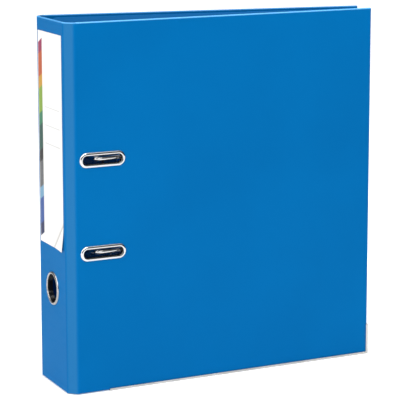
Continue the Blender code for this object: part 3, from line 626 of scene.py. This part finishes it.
def quarter(middle, across, high, start, end, steps=6):
    """Points on part of an ellipse, for the rounded sections of pressed and turned metal."""
    angles = [math.radians(start + (end - start) * i / steps) for i in range(steps + 1)]
    return [(middle[0] + across * math.cos(a), middle[1] - high * math.sin(a)) for a in angles]


def spun(section, steps, place):
    """Spins a closed section of radius and depth about a line through place."""
    bm = bmesh.new()
    verts = [bm.verts.new((radius, depth, 0.0)) for radius, depth in section]
    edges = [bm.edges.new((verts[i - 1], verts[i])) for i in range(len(verts))]
    bmesh.ops.spin(bm, geom=verts + edges, cent=(0, 0, 0), axis=(0, 1, 0), angle=2 * math.pi,
                   steps=steps, use_merge=True, use_duplicate=False)
    bmesh.ops.remove_doubles(bm, verts=bm.verts, dist=0.001)
    bmesh.ops.translate(bm, verts=bm.verts, vec=place)
    return bm


ring_metal = nickel_plate("ring_nickel", tone_and_shade=0.75)
crown = RING_BORE + 0.95
tube = RING_BORE + RING_WALL
section = quarter((crown, -0.35), crown - RING_BORE, RING_PROUD - 0.35, 180.0, 90.0)
section += quarter((crown, 0.05), RING_RIM - crown, RING_PROUD + 0.05, 90.0, 0.0)[1:]
section += [(tube, 0.1), (tube, RING_ROLL)]
section += quarter((tube + 0.7, RING_ROLL + 0.4), 0.6, 0.4, 60.0, -90.0, 5)
section += quarter((RING_BORE + 0.5, RING_ROLL + 0.3), 0.5, 0.5, -90.0, -180.0, 4)
bm = spun(section, RING_STEPS, ring_middle)
ring = piece_of("finger_ring_flange", bm, ring_metal, spine_leaf, 60.0)
# Painted shade: the bore inside the ring gets a near-black copy of the nickel.
ring.data.materials.append(nickel_plate("ring_bore_painted_shade", tone_and_shade=BORE_PAINTED_SHADE))
for face in ring.data.polygons:
    away = spine_leaf.inverted() @ face.center - ring_middle
    if away.y > BORE_FROM and away.xz.length < RING_BORE + BORE_SPARE:
        face.material_index = 1
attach(ring, "spine")
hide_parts("finger_ring")


# Slot eyelets. Long pressed eyelets of bright chrome that line the slots: a rounded flange
# outside, a wall through the board and a rolled lip inside.
EYELET_RIM = 6.6
EYELET_CROWN = 4.75
EYELET_PROUD = 1.3
EYELET_ROLL = 2.8
EYELET_THROAT = 4.1
THROAT_PAINTED_SHADE = 0.15
CHROME = (0.62, 0.62, 0.62, 1.0)
CHROME_SMUDGE = (0.52, 0.52, 0.52, 1.0)


def bright_chrome(name, shade=1.0):
    """Mirror plating with finger smudges and hair scratches."""
    material, place = open_finish(name)
    smudge = place.noise(70.0, 3.0).ranged(0.5, 0.75)
    hair = place.stretched(1.0, 0.08, 0.6).noise(2500.0, 1.0)
    bright = (*(shade * value for value in CHROME[:3]), 1.0)
    dull = (*(shade * value for value in CHROME_SMUDGE[:3]), 1.0)
    colour = (smudge * 0.7).mix(bright, dull)
    bump = place.node("Bump", {}, {"Strength": 0.03, "Distance": 0.03 * MM, "Height": hair})
    rough = 0.07 + 0.09 * smudge + 0.04 * hair
    close_finish(place, {"Base Color": colour, "Metallic": 1.0, "Roughness": rough, "Normal": bump})
    return material


def slot_frame(section, half_straight, place):
    """Carries a closed section round a long slot: an end, a straight, an end, a straight."""
    bm = bmesh.new()
    verts = [bm.verts.new((half_straight, depth, -radius)) for radius, depth in section]
    run = [bm.edges.new((verts[i - 1], verts[i])) for i in range(len(verts))]
    for side in (1, -1):
        ends = [v for e in run for v in e.verts]
        made = bmesh.ops.spin(bm, geom=list(set(ends)) + run, cent=(side * half_straight, 0, 0),
                              axis=(0, 1, 0), angle=-math.pi, steps=28, use_duplicate=False)
        run = [e for e in made["geom_last"] if isinstance(e, bmesh.types.BMEdge)]
        grown = bmesh.ops.extrude_edge_only(bm, edges=run)["geom"]
        run = [e for e in grown if isinstance(e, bmesh.types.BMEdge) and e.is_boundary]
        moved = [v for v in grown if isinstance(v, bmesh.types.BMVert)]
        bmesh.ops.translate(bm, verts=moved, vec=(-2 * side * half_straight, 0, 0))
    bmesh.ops.remove_doubles(bm, verts=bm.verts, dist=0.001)
    bmesh.ops.translate(bm, verts=bm.verts, vec=place)
    return bm


eyelet_metal = bright_chrome("eyelet_chrome")
throat_metal = bright_chrome("eyelet_throat_painted_shade", THROAT_PAINTED_SHADE)
wall = SLOT_RADIUS + SLOT_WALL
section = quarter((EYELET_CROWN, -0.3), EYELET_CROWN - SLOT_RADIUS, EYELET_PROUD - 0.3, 180.0, 90.0)
outer = EYELET_RIM - EYELET_CROWN
section += quarter((EYELET_CROWN, 0.05), outer, EYELET_PROUD + 0.05, 90.0, 0.0)[1:]
section += [(wall, 0.1), (wall, EYELET_ROLL)]
section += quarter((wall + 0.7, EYELET_ROLL + 0.3), 0.6, 0.3, 60.0, -90.0, 5)
section += quarter((SLOT_RADIUS + 0.4, EYELET_ROLL + 0.2), 0.4, 0.4, -90.0, -180.0, 4)
for level, height in ARCH_LEVELS.items():
    bm = slot_frame(section, SLOT_HALF_STRAIGHT, (SLOT_FROM_CREASE, 0.0, height))
    eyelet = piece_of(f"{level}_eyelet_flange", bm, eyelet_metal, front_leaf, 60.0)
    # Painted shade: the throat of each eyelet gets a near-black copy of the chrome.
    eyelet.data.materials.append(throat_metal)
    for face in eyelet.data.polygons:
        away = front_leaf.inverted() @ face.center - Vector((SLOT_FROM_CREASE, 0.0, height))
        past_straight = max(abs(away.x) - SLOT_HALF_STRAIGHT, 0.0)
        if math.hypot(past_straight, away.z) < EYELET_THROAT:
            face.material_index = 1
    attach(eyelet, "front_cover")
    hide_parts(f"{level}_slot_eyelet")


# Edge rails. Thin nickel-plated steel, folded round the covers' bottom edges and up the free
# corners, to keep the boards from wearing on a shelf; and the finger ring's inner washer.
RAIL_LIP = 1.8
RAIL_FOOT_LIP = FOOT + RAIL_LIP
RAIL_RISE = 28.0
RAIL_ROUND = 0.18
RAIL_BAND = 0.25
RAIL_SLIMMED = 0.5
SHARP = math.radians(30.0)


def softened(node, radius, segments=2):
    """A merged copy of a CAD node with its sharp edges rounded off."""
    bm = bmesh.new()
    bm.from_mesh(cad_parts[node].data)
    bmesh.ops.remove_doubles(bm, verts=bm.verts, dist=0.002 * MM)
    bmesh.ops.dissolve_limit(bm, angle_limit=math.radians(1.0), verts=bm.verts, edges=bm.edges)
    paired = [e for e in bm.edges if len(e.link_faces) == 2]
    sharp = [e for e in paired if e.calc_face_angle() > SHARP]
    soften(bm, sharp, radius * MM, segments)
    return bm


def dressed(node, name, radius, material, body):
    piece = piece_of(name, softened(node, radius), material)
    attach(piece, body)
    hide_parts(node)
    return piece


def slim_rail(node, shape):
    """The rail with its lips drawn in, so that only a narrow line of metal shows."""
    bm = softened(node, RAIL_ROUND)
    bmesh.ops.transform(bm, matrix=shape.inverted(), verts=bm.verts)
    side = 1.0 if next(iter(bm.verts)).co.x > 0.0 else -1.0
    lip = COVER - RAIL_LIP
    above = [v for v in bm.verts if v.co.z > RAIL_FOOT_LIP - RAIL_BAND]
    before = [v for v in above if abs(v.co.x) < lip + RAIL_BAND]
    low = [v for v in before if v.co.z < RAIL_RISE - 1.0]
    upright = [v for v in before if abs(v.co.x) > lip - RAIL_BAND]
    bmesh.ops.translate(bm, verts=low, vec=(0.0, 0.0, -RAIL_SLIMMED))
    bmesh.ops.translate(bm, verts=upright, vec=(side * RAIL_SLIMMED, 0.0, 0.0))
    bmesh.ops.transform(bm, matrix=shape, verts=bm.verts)
    return bm


rail_metal = nickel_plate("rail_nickel", (6.0, 1.0, 1.0))
for cover, shape in (("back", back_leaf), ("front", front_leaf)):
    bm = slim_rail(f"{cover}_edge_rail", shape)
    rail = piece_of(f"{cover}_rail_fold", bm, rail_metal)
    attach(rail, f"{cover}_cover")
    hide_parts(f"{cover}_edge_rail")
dressed("finger_ring_washer", "ring_washer", 0.12, ring_metal, "spine")


# Base plate. Stamped nickel-plated steel on the back board, which carries the whole
# mechanism; four rivets go through it and the board, their flat heads outside.
plate_metal = nickel_plate("plate_nickel", (1.0, 1.0, 5.0))
dressed("base_plate", "mechanism_plate", 0.25, plate_metal, "back_cover")
for number in range(1, 5):
    dressed(f"case_rivet_{number}", f"case_rivet_head_{number}", 0.15, plate_metal,
            "back_cover")


# Posts. Turned chromed steel, riveted into the plate by their tails; the paper's holes slide
# on to them, and the arches close on their slim tips.
post_metal = bright_chrome("post_chrome")
for level in ARCH_LEVELS:
    dressed(f"{level}_post", f"{level}_post_shank", 0.2, post_metal, "back_cover")


# Arch bar. One chromed wire bent into arch, leg, axle, leg and arch; the axle turns in two
# clips on the plate, and the arches come through the slots in the front board.
WIRE = 2.0
WIRE_SIDES = 28
AXLE = (-123.5873, 28.564, 162.0)
ARCH_RADIUS = 61.866
ARCH_HALF = 40.0
LEG_ANGLE = math.radians(85.5)
LEG_BEND = 6.0
SHOULDER_BEND = 10.0
AXLE_BEND = 5.0
POST_FROM_AXLE = 36.891
TIP_RISE = 37.3


def last_edges(made):
    return [e for e in made if isinstance(e, bmesh.types.BMEdge)]


def run_wire(bm, edges, way):
    """Draws the wire's open end straight on."""
    grown = bmesh.ops.extrude_edge_only(bm, edges=edges)["geom"]
    tip = [v for v in grown if isinstance(v, bmesh.types.BMVert)]
    bmesh.ops.translate(bm, verts=tip, vec=way)
    return [e for e in last_edges(grown) if e.is_boundary]


def bend_wire(bm, edges, centre, axis, angle, steps):
    """Bends the wire's open end about a line."""
    verts = list({v for e in edges for v in e.verts})
    made = bmesh.ops.spin(bm, geom=verts + edges, cent=centre, axis=axis, angle=angle, steps=steps,
                          use_duplicate=False)
    return last_edges(made["geom_last"])


leg_way = Vector((math.cos(LEG_ANGLE), -math.sin(LEG_ANGLE), 0.0))
bend_in = ARCH_RADIUS - LEG_BEND
swing = math.asin(LEG_BEND / bend_in)
shoulder_in = ARCH_RADIUS - SHOULDER_BEND
down = math.acos((POST_FROM_AXLE - SHOULDER_BEND) / shoulder_in)
bm = bmesh.new()
bmesh.ops.create_circle(bm, segments=WIRE_SIDES, radius=WIRE)
end = run_wire(bm, list(bm.edges), (0.0, 0.0, ARCH_HALF - AXLE_BEND))
centre = leg_way * AXLE_BEND + Vector((0.0, 0.0, ARCH_HALF - AXLE_BEND))
end = bend_wire(bm, end, centre, Vector((0.0, 0.0, 1.0)).cross(leg_way), math.pi / 2, 12)
end = run_wire(bm, end, leg_way * (bend_in * math.cos(swing) - AXLE_BEND))
turned = LEG_ANGLE - swing
centre = (bend_in * math.cos(turned), -bend_in * math.sin(turned), 0.0)
end = bend_wire(bm, end, centre, (0, 0, 1), math.pi / 2 + swing, 16)
end = bend_wire(bm, end, (0, 0, 0), (0, 0, 1), turned - down, 24)
centre = (shoulder_in * math.cos(down), -shoulder_in * math.sin(down), 0.0)
end = bend_wire(bm, end, centre, (0, 0, 1), down, 14)
end = run_wire(bm, end, (0.0, shoulder_in * math.sin(down) - TIP_RISE, 0.0))
cap = bmesh.ops.edgeloop_fill(bm, edges=end)["faces"]
soften(bm, [e for face in cap for e in face.edges], 0.5, 3)
geom = list(bm.verts) + list(bm.edges) + list(bm.faces)
bmesh.ops.mirror(bm, geom=geom, axis="Z", merge_dist=0.01)
shape = Matrix.Translation(Vector(AXLE) * MM) @ Matrix.Scale(MM, 4)
arch = piece_of("arch_wire", bm, bright_chrome("arch_chrome"), shape, 60.0)
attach(arch, "arch")
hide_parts("arch_bar")


# Arch tongue and its clips. Pressed steel: two straps hold the axle down on the plate, and a
# tongue curled round the axle takes the roller's push.
strap_metal = nickel_plate("strap_nickel", (5.0, 1.0, 1.0))
dressed("arch_tongue", "tongue_plate", 0.25, strap_metal, "arch")
for level in ARCH_LEVELS:
    dressed(f"{level}_bearing_clip", f"{level}_axle_strap", 0.2, strap_metal,
            "back_cover")


# Lever bracket. Two angle plates riveted to the base plate, with the lever's pivot pin
# through both of them.
for level in ARCH_LEVELS:
    dressed(f"{level}_lever_cheek", f"{level}_bracket_cheek", 0.22, strap_metal,
            "back_cover")
    dressed(f"{level}_cheek_rivet", f"{level}_bracket_rivet", 0.12, plate_metal,
            "back_cover")


# Lever. A pressed channel of chromed steel with a finger slot near its end; its short arm
# holds a pin and a plastic roller that press the tongue when the lever goes down.
dressed("lever", "lever_channel", 0.3, bright_chrome("lever_chrome"), "lever")
dressed("lever_pivot_pin", "lever_hinge_pin", 0.12, plate_metal, "lever")
dressed("roller_pin", "roller_axle_pin", 0.12, plate_metal, "lever")
ROLLER_BLACK = (0.022, 0.022, 0.024, 1.0)
ROLLER_WORN = (0.075, 0.073, 0.07, 1.0)


def roller_plastic():
    material, place = open_finish("roller_plastic")
    worn = place.stretched(1.0, 1.0, 6.0).noise(500.0, 3.0).ranged(0.45, 0.75)
    speck = place.noise(2200.0, 1.0)
    bump = place.node("Bump", {}, {"Strength": 0.15, "Distance": 0.05 * MM, "Height": speck})
    colour = (worn * 0.6).mix(ROLLER_BLACK, ROLLER_WORN)
    close_finish(place, {"Base Color": colour, "Roughness": 0.38 + 0.2 * worn, "Normal": bump})
    return material


dressed("lever_roller", "roller_wheel", 0.25, roller_plastic(), "roller")


# Leaf spring. A bowed strip of blued spring steel, riveted to the plate at one end, with its
# free end under the tongue to throw the arches open.
SPRING_GREY = (0.34, 0.34, 0.35, 1.0)
SPRING_BLUED = (0.20, 0.21, 0.25, 1.0)


def spring_steel():
    material, place = open_finish("spring_steel")
    rolled = place.stretched(8.0, 1.0, 1.0).noise(1500.0, 2.0)
    tint = place.noise(60.0, 2.0).ranged(0.35, 0.7)
    bump = place.node("Bump", {}, {"Strength": 0.1, "Distance": 0.04 * MM, "Height": rolled})
    colour = tint.mix(SPRING_GREY, SPRING_BLUED)
    rough = 0.28 + 0.12 * rolled
    close_finish(place, {"Base Color": colour, "Metallic": 1.0, "Roughness": rough, "Normal": bump})
    return material


dressed("spring_leaf", "spring_strip", 0.12, spring_steel(), "back_cover")
dressed("spring_rivet", "spring_strip_rivet", 0.12, plate_metal, "back_cover")


# Compressor bar. A channel of thin nickel-plated sheet, threaded on both posts, that is
# pushed down on the papers to hold them flat.
bar_metal = nickel_plate("compressor_nickel", (1.0, 1.0, 6.0))
dressed("compressor_bar", "compressor_channel", 0.2, bar_metal, "compressor")
